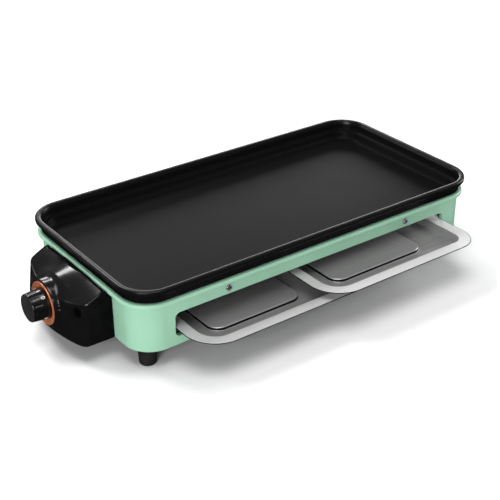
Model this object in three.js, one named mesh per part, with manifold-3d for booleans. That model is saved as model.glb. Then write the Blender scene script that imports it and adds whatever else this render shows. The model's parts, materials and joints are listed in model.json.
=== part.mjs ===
// Electric griddle: a steel housing with a lift-off non-stick pan, a tubular heating element,
// two pull-out trays on rails and a control box with a thermostat knob on the left end.
// Millimetres, +X right along the length, -Y the tray side (front), +Z up, feet on z = 0.
import * as THREE from "three";
import { mergeVertices } from "three/addons/utils/BufferGeometryUtils.js";
import Module from "manifold-3d";

const wasm = await Module();
wasm.setup();

// ---- driving dimensions ----
const PLAY = 0.3; // gap between neighbouring pieces that touch
const CORNER_STEPS = 6; // facets in each rounded corner

const PAN = { length: 480, depth: 240, radius: 39, rimZ: 97, floorZ: 75.5, underZ: 73 };
const LIP = { length: 476, depth: 236, radius: 36, topZ: 80.5, underZ: 74.8 };
const WALL_INSET = 5; // the lip overhangs the housing wall by this much
const SHEET = 1.2; // housing sheet
const HOUSING_BOTTOM = 22;
const SLOT = { leftX: -190.3, rightX: 192.5, bottomZ: 32, topZ: 60.2, radius: 6 };

const BASE = { z: 22, thickness: 1, skirtZ: 30 };
const FOOT = { x: 213, y: 93, topRadius: 10.4, footRadius: 9.4, height: 21.7, boreRadius: 2.3, boreFloor: 8 };

const CROSSBAR = {
  middleX: 2.8, reach: 126.2, width: 14, bottomZ: 62.4, thickness: 1.5, flangeZ: 72, screwZ: 67.7,
};
const STRAP = { y: 60, halfLength: 134, width: 12, bottomZ: 60.9, thickness: 1.2 };
const ELEMENT = { radius: 3.3, z: 68.4, outerY: 82, innerY: 28, rightX: 178, leftX: -165 };
const ELEMENT_LEAD = { y: 36, z: 62, length: 11, pinLength: 7, pinRadius: 1.5 };
const CLIP = { sheet: 0.7, foot: 4, halfWidth: 4 };
const BUSH = { boreRadius: 3.6, neckRadius: 5.2, flangeRadius: 6, flange: 3.5, length: 9.5, proud: 3.8 };

const TRAY = {
  length: 226, depth: 205, radius: 38, rightRadius: 28, rimWidth: 14, sheet: 0.8, deep: 7.2,
};
const PANEL = { margin: 33, rise: 3, radius: 14, slope: 2.6 };
const LOWER_TRAY = { leftX: -188.5, frontY: -165, rimZ: 40.7, panelLength: 117 };
const UPPER_TRAY = { leftX: -34.5, frontY: -177, rimZ: 50.7, panelLength: 132 };
const RAIL = { frontY: -104, rearY: 104, sheet: 1.2, grip: 12, clearance: 3.4, hangingFrontY: -96 };

const BOX = { backX: -233.3, bottomZ: 22, halfWidth: 63, cornerX: -269, bulge: 11, wall: 2.4 };
const BOX_TOP = { ridgeX: -245, ridgeZ: 81.5, creaseZ: 61.2, creaseRise: 13, stepZ: 74.1 };
const BOX_DRAFT = { face: 0.11, side: 0.00048, cornerRadius: 8 };
const DIAL = { z: 50, hoodRadius: 26, hoodX: -281, hoodEndX: -252, recessX: -278.6, ringRadius: 24 };
const KNOB = { backX: -280.2, length: 19.4, radius: 17, faceRadius: 15.6, boreRadius: 3.35, boreDepth: 13 };
const SHAFT = { radius: 3, innerX: -261, depth: 12.5 };
const BOX_SCREW = { y: 50.5, z: 59, recessRadius: 5.5, bossRadius: 7.4, seatX: -244, bossEndX: -241 };
const SCREW = { shankRadius: 1.95, holeRadius: 2.3, headRadius: 3.6, headHeight: 2.3 };
const NUT = { radius: 4, height: 3 };
const EARTH = { y: 8, z: 34 };
const GLAND = {
  x: -252, z: 38, boreRadius: 3.8, neckRadius: 6.2, neckLength: 5.6, flangeRadius: 9, length: 11,
};
const BACK_PLATE = { frontX: -234.9, backX: -233.9, halfWidth: 57, chamfer: 8, bottomZ: 27, topZ: 70 };
const THERMOSTAT = { frontX: -262.7, backX: -244, half: 15, rise: 9, neckRadius: 5, neckX: -271 };
const BRACKET = { frontX: -264.4, half: 23, flangeY: 29, drop: 11, height: 20 };
const TAB = { frontX: -259, backX: -253, y: 8, thickness: 0.8, lowZ: 36, highZ: 64 };
const TERMINAL = {
  frontX: -264, backX: -248, nearY: 30, farY: 54, bottomZ: 26.5, topZ: 38.5, boreRadius: 1.9,
};
const FUSE = { x: -258, radius: 2.6, bottomZ: 45, topZ: 57 };
const LEAD_RADIUS = 1.2;

// ---- materials ----
function material(color, roughness, metalness) {
  return new THREE.MeshStandardMaterial({ color, roughness, metalness });
}
const MINT = material(0x9fd0b6, 0.35, 0.1);
const NON_STICK = material(0x1d1d1f, 0.4, 0.2);
const STAINLESS = material(0xc4c5c6, 0.3, 1);
const ZINC = material(0xa9abad, 0.45, 1);
const ELEMENT_STEEL = material(0x5b544e, 0.45, 0.9);
const BLACK_PLASTIC = material(0x17181a, 0.3, 0);
const GLOSS_BLACK = material(0x0b0b0c, 0.12, 0);
const COPPER = material(0xc9764f, 0.25, 1);
const RUBBER = material(0x141414, 0.7, 0);
const CERAMIC = material(0xe8e2d4, 0.5, 0);
const LEAD_RED = material(0x8e2f28, 0.5, 0);
const LEAD_BLUE = material(0x2f4f86, 0.5, 0);
const LEAD_GREEN = material(0x7d9a34, 0.5, 0);

// ---- geometry helpers ----
// One ring of a loft: a rounded rectangle in a level plane, counter-clockwise seen from above.
// Its right corners may have a radius of their own.
function ring(length, depth, radius, z, x = 0, y = 0, rightRadius = radius) {
  const points = [];
  const corners = [[1, -1, -0.5], [1, 1, 0], [-1, 1, 0.5], [-1, -1, 1]];
  for (const [sx, sy, start] of corners) {
    const r = sx > 0 ? rightRadius : radius;
    for (let k = 0; k <= CORNER_STEPS; k++) {
      const angle = (start + (0.5 * k) / CORNER_STEPS) * Math.PI;
      const px = x + sx * (length / 2 - r) + r * Math.cos(angle);
      const py = y + sy * (depth / 2 - r) + r * Math.sin(angle);
      points.push(new THREE.Vector3(px, py, z));
    }
  }
  return points;
}

// The ring that lies a given inset inside an outline of length, depth and radius.
function insetRing(outline, inset, z) {
  const { length, depth, radius, rightRadius = radius, x, y } = outline;
  const left = Math.max(radius - inset, 2);
  const right = Math.max(rightRadius - inset, 2);
  return ring(length - 2 * inset, depth - 2 * inset, left, z, x, y, right);
}

// Skins rings of equal point count. A closed loft joins its last ring to its first;
// an open one gets a flat cap at each end.
function loft(rings, closed = false) {
  const count = rings[0].length;
  const positions = rings.flat().flatMap((p) => [p.x, p.y, p.z]);
  const index = [];
  const bands = closed ? rings.length : rings.length - 1;
  for (let i = 0; i < bands; i++) {
    const a = i * count;
    const b = ((i + 1) % rings.length) * count;
    for (let j = 0; j < count; j++) {
      const k = (j + 1) % count;
      index.push(a + j, a + k, b + k, a + j, b + k, b + j);
    }
  }
  if (!closed) {
    capRing(rings[0], 0, positions, index, true);
    capRing(rings[rings.length - 1], (rings.length - 1) * count, positions, index, false);
  }
  const geometry = new THREE.BufferGeometry();
  geometry.setAttribute("position", new THREE.Float32BufferAttribute(positions, 3));
  geometry.setIndex(index);
  return geometry;
}

// Closes one end ring with a fan from its middle.
function capRing(points, first, positions, index, flip) {
  const middle = new THREE.Vector3();
  points.forEach((p) => middle.add(p));
  middle.divideScalar(points.length);
  const hub = positions.length / 3;
  positions.push(middle.x, middle.y, middle.z);
  for (let j = 0; j < points.length; j++) {
    const k = (j + 1) % points.length;
    if (flip) index.push(hub, first + k, first + j);
    else index.push(hub, first + j, first + k);
  }
}

// A prism: an outline of [u, v] pairs, extruded by a length.
function prism(outline, length) {
  const shape = new THREE.Shape(outline.map(([u, v]) => new THREE.Vector2(u, v)));
  return new THREE.ExtrudeGeometry(shape, { depth: length, bevelEnabled: false });
}

// A prism whose outline lies in the XZ plane and which runs along +Y from y0 to y1.
function prismAlongY(outline, y0, y1) {
  const geometry = prism(outline, y1 - y0);
  geometry.rotateX(Math.PI / 2);
  return geometry.translate(0, y1, 0);
}

// A prism whose outline lies in the YZ plane and which runs along +X from x0 to x1.
function prismAlongX(outline, x0, x1) {
  const geometry = prism(outline, x1 - x0);
  geometry.rotateX(Math.PI / 2);
  geometry.rotateZ(Math.PI / 2);
  return geometry.translate(x0, 0, 0);
}

function block(x0, x1, y0, y1, z0, z1) {
  const geometry = new THREE.BoxGeometry(x1 - x0, y1 - y0, z1 - z0);
  return geometry.translate((x0 + x1) / 2, (y0 + y1) / 2, (z0 + z1) / 2);
}

// A turned piece: [radius, height] pairs about the local axis, laid along "x", "y" or "z"
// with a sign, so that height 0 sits at the given place.
function turned(profile, direction, place, segments = 16, phase = 0) {
  const points = profile.map(([r, h]) => new THREE.Vector2(r, h));
  const geometry = new THREE.LatheGeometry(points, segments, phase);
  const axis = new THREE.Vector3(...direction);
  const turn = new THREE.Quaternion().setFromUnitVectors(new THREE.Vector3(0, 1, 0), axis);
  geometry.applyQuaternion(turn);
  return geometry.translate(...place);
}

// A plain cylinder between two heights along a direction, used mostly to cut holes.
function rod(radius, from, to, direction, place, segments = 16) {
  return turned([[0, from], [radius, from], [radius, to], [0, to]], direction, place, segments);
}

// A round tube along a smooth or a stepped route.
function tube(path, radius, sides, steps) {
  const section = new THREE.Shape();
  section.absarc(0, 0, radius, 0, 2 * Math.PI, false);
  const options = { steps, bevelEnabled: false, extrudePath: path, curveSegments: sides / 2 };
  return new THREE.ExtrudeGeometry(section, options);
}

function solid(geometry) {
  const bare = geometry.clone();
  bare.deleteAttribute("normal");
  bare.deleteAttribute("uv");
  const merged = mergeVertices(bare, 1e-4);
  const mesh = new wasm.Mesh({
    numProp: 3,
    vertProperties: new Float32Array(merged.attributes.position.array),
    triVerts: new Uint32Array(merged.index.array),
  });
  return new wasm.Manifold(mesh);
}

function toGeometry(body) {
  const mesh = body.getMesh();
  const geometry = new THREE.BufferGeometry();
  geometry.setAttribute("position", new THREE.Float32BufferAttribute(mesh.vertProperties, 3));
  geometry.setIndex(Array.from(mesh.triVerts));
  return geometry;
}

function cut(geometry, cutters) {
  let body = solid(geometry);
  for (const cutter of cutters) body = body.subtract(solid(cutter));
  return toGeometry(body);
}

function join(geometries) {
  let body = solid(geometries[0]);
  for (const extra of geometries.slice(1)) body = body.add(solid(extra));
  return toGeometry(body);
}

const griddle = new THREE.Group();

function addPiece(name, geometry, finish) {
  geometry.computeVertexNormals();
  const mesh = new THREE.Mesh(geometry, finish);
  mesh.name = name;
  griddle.add(mesh);
}

// The four ends of a rectangle, with the words that name them.
const ENDS = [
  ["front_left", -1, -1],
  ["front_right", 1, -1],
  ["rear_left", -1, 1],
  ["rear_right", 1, 1],
];
const wallX = LIP.length / 2 - WALL_INSET;
const wallY = LIP.depth / 2 - WALL_INSET;

// The middle of the crossbar on a side, with its clips and the screws at its ends.
function crossbarX(side) {
  return CROSSBAR.middleX + side * CROSSBAR.reach;
}

// ---- housing ----
function housingShell() {
  const innerWall = WALL_INSET + SHEET;
  const profile = [
    [WALL_INSET, HOUSING_BOTTOM],
    [WALL_INSET, LIP.underZ],
    [1.2, LIP.underZ],
    [0.2, LIP.underZ + 1.1],
    [0, LIP.underZ + 2.8],
    [0.9, LIP.topZ - 0.9],
    [2.6, LIP.topZ],
    [4.8, LIP.topZ],
    [innerWall, LIP.topZ - 1],
    [innerWall, HOUSING_BOTTOM],
  ];
  const shell = loft(profile.map(([inset, z]) => insetRing(LIP, inset, z)), true);
  const slotCorners = [
    [SLOT.rightX - SLOT.radius, SLOT.topZ - SLOT.radius],
    [SLOT.leftX + SLOT.radius, SLOT.topZ - SLOT.radius],
    [SLOT.leftX + SLOT.radius, SLOT.bottomZ + SLOT.radius],
    [SLOT.rightX - SLOT.radius, SLOT.bottomZ + SLOT.radius],
  ];
  const slot = new THREE.Shape();
  slotCorners.forEach(([x, z], k) => {
    slot.absarc(x, z, SLOT.radius, (k * Math.PI) / 2, ((k + 1) * Math.PI) / 2);
  });
  const reach = 5; // how far each cutter runs past the wall's outer face
  const options = { depth: 2 * reach, bevelEnabled: false, curveSegments: 5 };
  const slotSolid = new THREE.ExtrudeGeometry(slot, options);
  slotSolid.rotateX(Math.PI / 2);
  slotSolid.translate(0, -wallY + reach, 0);
  const cutters = [slotSolid];
  const hole = (radius, direction, place) => cutters.push(rod(radius, -reach, reach, direction, place, 12));
  for (const [, sx, sy] of ENDS) {
    hole(SCREW.holeRadius, [0, 1, 0], [crossbarX(sx), sy * wallY, CROSSBAR.screwZ]);
  }
  for (const side of [-1, 1]) {
    hole(BUSH.neckRadius + PLAY, [1, 0, 0], [-wallX, side * ELEMENT_LEAD.y, ELEMENT_LEAD.z]);
    hole(SCREW.holeRadius, [1, 0, 0], [-wallX, side * BOX_SCREW.y, BOX_SCREW.z]);
  }
  hole(SCREW.holeRadius, [1, 0, 0], [-wallX, EARTH.y, EARTH.z]);
  return cut(shell, cutters);
}

function basePlate() {
  const outline = { length: 2 * (wallX - SHEET - PLAY), depth: 2 * (wallY - SHEET - PLAY), radius: 29.5 };
  const top = BASE.z + BASE.thickness;
  const profile = [
    [1.6, BASE.z],
    [0, BASE.z + 1.4],
    [0, BASE.skirtZ],
    [1, BASE.skirtZ],
    [1, top + 0.8],
    [2, top],
  ];
  const pressing = loft(profile.map(([inset, z]) => insetRing(outline, inset, z)));
  const holes = ENDS.map(([, sx, sy]) =>
    rod(SCREW.holeRadius, BASE.z - 2, BASE.z + 4, [0, 0, 1], [sx * FOOT.x, sy * FOOT.y, 0], 12));
  return cut(pressing, holes);
}

function foot(sx, sy) {
  const profile = [
    [0, 0],
    [FOOT.footRadius - 1.2, 0],
    [FOOT.footRadius, 1.2],
    [FOOT.topRadius, FOOT.height],
    [FOOT.boreRadius, FOOT.height],
    [FOOT.boreRadius, FOOT.boreFloor],
    [0, FOOT.boreFloor],
  ];
  return turned(profile, [0, 0, 1], [sx * FOOT.x, sy * FOOT.y, 0]);
}

// ---- fasteners ----
// A pan-head screw: the head's seat is at the place, the head points along the direction.
function screw(direction, place, shankLength, crossRecess = true) {
  const { shankRadius, headRadius, headHeight } = SCREW;
  const profile = [
    [0, -shankLength],
    [shankRadius, -shankLength],
    [shankRadius, 0],
    [headRadius, 0],
    [headRadius, headHeight * 0.45],
    [headRadius * 0.72, headHeight * 0.9],
    [0, headHeight],
  ];
  if (!crossRecess) return turned(profile, direction, place, 12);
  const slotWidth = 0.45;
  const slotReach = headRadius * 0.55;
  const floor = headHeight * 0.45;
  const blade = block(-slotReach, slotReach, floor, headHeight + 1, -slotWidth, slotWidth);
  const crossed = block(-slotWidth, slotWidth, floor, headHeight + 1, -slotReach, slotReach);
  const axis = new THREE.Vector3(...direction);
  const turn = new THREE.Quaternion().setFromUnitVectors(new THREE.Vector3(0, 1, 0), axis);
  for (const part of [blade, crossed]) part.applyQuaternion(turn).translate(...place);
  return cut(turned(profile, direction, place, 12), [blade, crossed]);
}

function hexNut(direction, place) {
  const { radius, height } = NUT;
  const profile = [[0, 0], [radius, 0], [radius, height], [0, height]];
  const nut = turned(profile, direction, place, 6, Math.PI / 6);
  return cut(nut, [rod(SCREW.holeRadius, -1, height + 1, direction, place, 12)]);
}

// ---- pan ----
function griddlePan() {
  const outside = [
    [16, PAN.underZ],
    [12.8, PAN.underZ + 0.9],
    [11.6, PAN.underZ + 3.6],
    [10.4, LIP.topZ - 0.4],
    [9.6, LIP.topZ + PLAY],
    [5.6, LIP.topZ + PLAY],
    [5, LIP.topZ + 1.6],
    [4.4, PAN.rimZ - 6.4],
    [1.3, PAN.rimZ - 6],
    [0.2, PAN.rimZ - 4.6],
    [0, PAN.rimZ - 2.8],
    [0.8, PAN.rimZ - 0.8],
    [2.4, PAN.rimZ],
  ];
  const inside = [
    [5, PAN.rimZ],
    [7.2, PAN.rimZ - 1.6],
    [8.4, PAN.rimZ - 10.8],
    [9.6, PAN.rimZ - 12],
    [12.4, PAN.rimZ - 12.6],
    [14, PAN.rimZ - 14],
    [15, PAN.floorZ + 3],
    [16.6, PAN.floorZ + 0.8],
    [19.5, PAN.floorZ],
  ];
  return loft([...outside, ...inside].map(([inset, z]) => insetRing(PAN, inset, z)));
}

// ---- heating element and what carries it ----
// A hairpin of four long runs; both ends come out through the left wall.
function elementPath() {
  const { outerY, innerY, rightX, leftX } = ELEMENT;
  const leadY = ELEMENT_LEAD.y;
  const path = new THREE.CurvePath();
  const at = (x, y, z = ELEMENT.z) => new THREE.Vector3(x, y, z);
  const low = (x, y) => at(x, y, ELEMENT_LEAD.z);
  const line = (a, b) => path.add(new THREE.LineCurve3(a, b));
  // A half turn bulging towards +X or -X, drawn as two quarter curves.
  const halfTurn = (x, fromY, toY, bulge) => {
    const middleY = (fromY + toY) / 2;
    const reach = (bulge * Math.abs(toY - fromY)) / 2;
    const handle = 0.5523;
    const apex = at(x + reach, middleY);
    const rise = middleY - fromY;
    path.add(new THREE.CubicBezierCurve3(
      at(x, fromY), at(x + reach * handle, fromY), at(x + reach, middleY - rise * handle), apex));
    path.add(new THREE.CubicBezierCurve3(
      apex, at(x + reach, middleY + rise * handle), at(x + reach * handle, toY), at(x, toY)));
  };
  const exitX = -wallX - ELEMENT_LEAD.length;
  const dropX = -210;
  const bend = 13;
  const corner = (a, b, c) => path.add(new THREE.QuadraticBezierCurve3(a, b, c));
  line(low(exitX, leadY), low(dropX - bend, leadY));
  corner(low(dropX - bend, leadY), low(dropX, leadY), low(dropX, leadY + bend));
  line(low(dropX, leadY + bend), at(dropX, outerY - bend));
  corner(at(dropX, outerY - bend), at(dropX, outerY), at(dropX + bend, outerY));
  line(at(dropX + bend, outerY), at(rightX, outerY));
  halfTurn(rightX, outerY, innerY, 1);
  line(at(rightX, innerY), at(leftX, innerY));
  halfTurn(leftX, innerY, -innerY, -1);
  line(at(leftX, -innerY), at(rightX, -innerY));
  halfTurn(rightX, -innerY, -outerY, 1);
  line(at(rightX, -outerY), at(dropX + bend, -outerY));
  corner(at(dropX + bend, -outerY), at(dropX, -outerY), at(dropX, bend - outerY));
  line(at(dropX, bend - outerY), low(dropX, -leadY - bend));
  corner(low(dropX, -leadY - bend), low(dropX, -leadY), low(dropX - bend, -leadY));
  line(low(dropX - bend, -leadY), low(exitX, -leadY));
  return path;
}

function heatingElement() {
  return tube(elementPath(), ELEMENT.radius, 8, 104);
}

function elementBush(side) {
  const { boreRadius, neckRadius, flangeRadius, flange, length, proud } = BUSH;
  const profile = [
    [boreRadius, 0], [flangeRadius, 0], [flangeRadius, flange], [neckRadius, flange],
    [neckRadius, length], [boreRadius, length], [boreRadius, 0],
  ];
  return turned(profile, [1, 0, 0], [-wallX - proud, side * ELEMENT_LEAD.y, ELEMENT_LEAD.z]);
}

function terminalPin(side) {
  const start = -wallX - ELEMENT_LEAD.length - PLAY;
  const { y, z, pinLength, pinRadius } = ELEMENT_LEAD;
  return rod(pinRadius, 0, pinLength, [-1, 0, 0], [start, side * y, z], 10);
}

// A front-to-back strip whose ends turn up against the walls.
function crossbar(side) {
  const { width, bottomZ, thickness, flangeZ, screwZ } = CROSSBAR;
  const outer = wallY - SHEET - PLAY;
  const inner = outer - SHEET;
  const outline = [
    [-outer, bottomZ], [outer, bottomZ], [outer, flangeZ], [inner, flangeZ],
    [inner, bottomZ + thickness], [-inner, bottomZ + thickness], [-inner, flangeZ], [-outer, flangeZ],
  ];
  const x = crossbarX(side);
  const holes = [-1, 1].map((end) => rod(SCREW.holeRadius, -4, 4, [0, 1, 0], [x, end * outer, screwZ], 12));
  return cut(prismAlongX(outline, x - width / 2, x + width / 2), holes);
}

// A saddle that holds one run of the element down on its crossbar.
function elementClip(side, y) {
  const seat = CROSSBAR.bottomZ + CROSSBAR.thickness + PLAY;
  const { sheet, foot, halfWidth } = CLIP;
  const inner = ELEMENT.radius + PLAY;
  const outer = inner + sheet;
  const steps = 6;
  const arch = (radius, reverse) => {
    const points = [];
    for (let k = 0; k <= steps; k++) {
      const angle = (Math.PI * (reverse ? k : steps - k)) / steps;
      points.push([y + radius * Math.cos(angle), ELEMENT.z + radius * Math.sin(angle)]);
    }
    return points;
  };
  const outline = [
    [y - outer - foot, seat], [y - inner, seat],
    ...arch(inner, false),
    [y + inner, seat], [y + outer + foot, seat], [y + outer + foot, seat + sheet], [y + outer, seat + sheet],
    ...arch(outer, true),
    [y - outer, seat + sheet], [y - outer - foot, seat + sheet],
  ];
  const x = crossbarX(side);
  return prismAlongX(outline, x - halfWidth, x + halfWidth);
}

// A left-to-right strap under the crossbars; it carries the hanging rail.
function crossStrap(side) {
  const { y, halfLength, width, bottomZ, thickness } = STRAP;
  const x = CROSSBAR.middleX;
  const nearY = side * y - width / 2;
  return block(x - halfLength, x + halfLength, nearY, nearY + width, bottomZ, bottomZ + thickness);
}

// ---- tray rails ----
// A standing rail: foot flange, web and grip flange. "side" is the way the web's flanges point.
function standingRail(webX, side, rimZ) {
  const { sheet, grip, frontY, rearY } = RAIL;
  const foot = BASE.z + BASE.thickness + PLAY;
  const top = rimZ - TRAY.sheet - PLAY;
  const web = webX + side * sheet;
  const tip = webX + side * grip;
  const outline = [
    [webX, foot], [tip, foot], [tip, foot + sheet], [web, foot + sheet],
    [web, top - sheet], [tip, top - sheet], [tip, top], [webX, top],
  ];
  return prismAlongY(outline, frontY, rearY);
}

// The rail that hangs between the two tray levels and carries the upper tray's left rim.
function hangingRail(webX) {
  const { sheet, grip, hangingFrontY, rearY } = RAIL;
  const shelf = UPPER_TRAY.rimZ - TRAY.sheet - PLAY;
  const top = STRAP.bottomZ - PLAY;
  const outline = [
    [webX, shelf - sheet], [webX + grip, shelf - sheet], [webX + grip, shelf], [webX + sheet, shelf],
    [webX + sheet, top], [webX - grip + sheet, top], [webX - grip + sheet, top - 1], [webX, top - 1],
  ];
  return prismAlongY(outline, hangingFrontY, rearY);
}

// ---- trays ----
function tray({ leftX, frontY, rimZ, panelLength }) {
  const { length, depth, rimWidth, sheet, deep } = TRAY;
  const outline = { ...TRAY, x: leftX + length / 2, y: frontY + depth / 2 };
  const floorZ = rimZ - deep;
  const panelX = leftX + PANEL.margin + panelLength / 2;
  const panelDepth = depth - 2 * PANEL.margin;
  const panelRing = (grow, z) =>
    ring(panelLength + 2 * grow, panelDepth + 2 * grow, PANEL.radius + grow, z, panelX, outline.y);
  const under = [
    panelRing(0, floorZ + PANEL.rise - sheet),
    panelRing(PANEL.slope, floorZ - sheet),
    insetRing(outline, rimWidth + 6.4, floorZ - sheet),
    insetRing(outline, rimWidth - 0.4, rimZ - sheet),
    insetRing(outline, 0.3, rimZ - sheet),
  ];
  const over = [
    insetRing(outline, 0, rimZ - sheet / 2),
    insetRing(outline, 0.3, rimZ),
    insetRing(outline, rimWidth, rimZ),
    insetRing(outline, rimWidth + 0.8, rimZ - 0.4),
    insetRing(outline, rimWidth + 6.2, floorZ + 0.5),
    insetRing(outline, rimWidth + 7.4, floorZ),
    panelRing(PANEL.slope, floorZ),
    panelRing(0.4, floorZ + PANEL.rise - 0.2),
    panelRing(-0.4, floorZ + PANEL.rise),
  ];
  return loft([...under, ...over]);
}

// ---- control box ----
// The plan outline of the box's left face, with its corners rounded off.
function faceX(y, shrink) {
  const half = BOX.halfWidth - shrink;
  const radius = BOX_DRAFT.cornerRadius - shrink;
  const past = Math.max(Math.abs(y) - (half - radius), 0);
  const rounding = radius - Math.sqrt(Math.max(radius * radius - past * past, 0));
  const share = Math.min(Math.abs(y) / BOX.halfWidth, 1);
  return BOX.cornerX - BOX.bulge * (1 - share * share) + shrink + 0.7 * rounding;
}

// One upright section of the box at a place across it; shrink makes the hollow inside.
function boxSection(y, shrink) {
  const { ridgeX, ridgeZ, creaseZ, creaseRise, stepZ } = BOX_TOP;
  const bottom = BOX.bottomZ + shrink;
  const share = Math.min(Math.abs(y) / (BOX.halfWidth - shrink), 1);
  const crease = creaseZ + creaseRise * share ** 2.2 - 1.35 * shrink;
  const lean = (z) => faceX(y, shrink) + BOX_DRAFT.face * (z - BOX.bottomZ);
  const ridgeTop = ridgeZ - shrink;
  const stepX = ridgeX + 6 - 0.9 * shrink;
  const back = BOX.backX + 1.5 * shrink;
  const outline = [
    [back, bottom],
    [back, stepZ - shrink],
    [stepX, stepZ - shrink],
    [stepX, ridgeTop - 2.2],
    [stepX - 2.2, ridgeTop - 0.5],
    [stepX - 5.2, ridgeTop],
    [stepX - 8.4, ridgeTop - 1],
    [stepX - 11.2, ridgeTop - 3.2],
    [lean(crease) + 1.4, crease + 1],
    [lean(crease), crease - 0.8],
    [lean(bottom + 2), bottom + 2],
    [lean(bottom) + 1.6, bottom],
  ];
  return outline.map(([x, z]) => {
    const sideDraft = 1 - BOX_DRAFT.side * (z - BOX.bottomZ);
    return new THREE.Vector3(x, y * sideDraft, z);
  });
}

function boxLoft(shrink) {
  const half = BOX.halfWidth - shrink;
  const straight = half - 8;
  const sections = [];
  for (const y of [-half, -half + 0.6, -half + 1.8, -half + 3.8]) sections.push(boxSection(y, shrink));
  const steps = 12;
  for (let k = 0; k <= steps; k++) sections.push(boxSection(-straight + (2 * straight * k) / steps, shrink));
  for (const y of [half - 3.8, half - 1.8, half - 0.6, half]) sections.push(boxSection(y, shrink));
  return loft(sections.reverse());
}

function controlBox() {
  const { hoodX, hoodEndX, hoodRadius, recessX, ringRadius } = DIAL;
  const axis = [0, 0, DIAL.z];
  const along = [1, 0, 0];
  const outerHood = rod(hoodRadius, hoodX, hoodEndX, along, axis, 32);
  const innerHood = rod(hoodRadius - BOX.wall, recessX + BOX.wall, hoodEndX, along, axis, 32);
  const outside = solid(boxLoft(0)).add(solid(outerHood));
  const hollow = solid(boxLoft(BOX.wall)).add(solid(innerHood));
  let body = outside.subtract(hollow);
  const seats = [-1, 1].map((side) => [0, side * BOX_SCREW.y, BOX_SCREW.z]);
  for (const seat of seats) {
    const boss = rod(BOX_SCREW.bossRadius, hoodX, BOX_SCREW.bossEndX, along, seat);
    body = body.add(solid(boss).intersect(outside));
  }
  const { neckRadius } = GLAND;
  const outsideX = hoodX - 10; // in front of every face of the box
  const holes = [
    rod(ringRadius + PLAY, outsideX, recessX, along, axis, 32),
    rod(THERMOSTAT.neckRadius + 2 * PLAY, outsideX, recessX + 2 * BOX.wall, along, axis),
    rod(neckRadius + PLAY, BOX.halfWidth - 10, BOX.halfWidth + 5, [0, 1, 0], [GLAND.x, 0, GLAND.z]),
  ];
  for (const seat of seats) {
    holes.push(rod(BOX_SCREW.recessRadius, outsideX, BOX_SCREW.seatX, along, seat));
    holes.push(rod(SCREW.holeRadius, outsideX, BOX.backX, along, seat, 12));
  }
  for (const hole of holes) body = body.subtract(solid(hole));
  return toGeometry(body);
}

function dialRing() {
  const r = DIAL.ringRadius;
  const profile = [
    [17.7, 0], [r, 0], [r, 2.8], [r - 0.7, 3.3], [r - 1.5, 2.9], [18.6, 1.5], [17.7, 1.3], [17.7, 0],
  ];
  return turned(profile, [-1, 0, 0], [DIAL.recessX - PLAY, 0, DIAL.z], 32);
}

function knob() {
  const { radius, faceRadius, boreRadius, boreDepth, length } = KNOB;
  const profile = [
    [boreRadius, 0],
    [radius - 0.4, 0],
    [radius, 0.5],
    [radius, 2.6],
    [radius - 0.5, 3.2],
    [faceRadius, length - 2],
    [faceRadius - 2, length],
    [0, length],
    [0, boreDepth],
    [boreRadius, boreDepth],
    [boreRadius, 0],
  ];
  return turned(profile, [-1, 0, 0], [KNOB.backX, 0, DIAL.z], 32);
}

function shaft() {
  const tip = KNOB.backX - SHAFT.depth;
  return rod(SHAFT.radius, tip, SHAFT.innerX, [1, 0, 0], [0, 0, DIAL.z], 14);
}

function thermostatBody() {
  const { frontX, backX, half, rise, neckRadius, neckX } = THERMOSTAT;
  const axis = [0, 0, DIAL.z];
  const box = block(frontX, backX, -half, half, DIAL.z - rise, DIAL.z + rise);
  const neck = rod(neckRadius, neckX, frontX + 2, [1, 0, 0], axis);
  const bore = rod(SHAFT.radius + PLAY, neckX - 1, SHAFT.innerX + 0.5, [1, 0, 0], axis);
  return cut(join([box, neck]), [bore]);
}

// A folded steel bracket that holds the thermostat off the back plate.
function thermostatBracket() {
  const { frontX, half, flangeY, drop, height } = BRACKET;
  const foot = BACK_PLATE.frontX - PLAY;
  const inner = half - SHEET;
  const outline = [
    [foot - SHEET, -flangeY], [foot - SHEET, -half], [frontX, -half], [frontX, half],
    [foot - SHEET, half], [foot - SHEET, flangeY], [foot, flangeY], [foot, inner],
    [frontX + SHEET, inner], [frontX + SHEET, -inner], [foot, -inner], [foot, -flangeY],
  ];
  const channel = prism(outline, height).translate(0, 0, DIAL.z - drop);
  const hole = rod(THERMOSTAT.neckRadius + PLAY, frontX - 5, frontX + 5, [1, 0, 0], [0, 0, DIAL.z]);
  return cut(channel, [hole]);
}

function contactTab(side, bottomZ, topZ) {
  const { frontX, backX, y, thickness } = TAB;
  return block(frontX, backX, side * y - thickness / 2, side * y + thickness / 2, bottomZ, topZ);
}

function backPlate() {
  const { frontX, backX, halfWidth, chamfer, bottomZ, topZ } = BACK_PLATE;
  const outline = [
    [-halfWidth, bottomZ], [halfWidth, bottomZ], [halfWidth, topZ - chamfer],
    [halfWidth - chamfer, topZ], [chamfer - halfWidth, topZ], [-halfWidth, topZ - chamfer],
  ];
  const hole = (radius, y, z) => rod(radius, frontX - 5, backX + 5, [1, 0, 0], [0, y, z], 12);
  const holes = [hole(SCREW.holeRadius, EARTH.y, EARTH.z)];
  for (const side of [-1, 1]) {
    holes.push(hole(BUSH.flangeRadius + PLAY, side * ELEMENT_LEAD.y, ELEMENT_LEAD.z));
    holes.push(hole(SCREW.holeRadius, side * BOX_SCREW.y, BOX_SCREW.z));
  }
  return cut(prismAlongX(outline, frontX, backX), holes);
}

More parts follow.
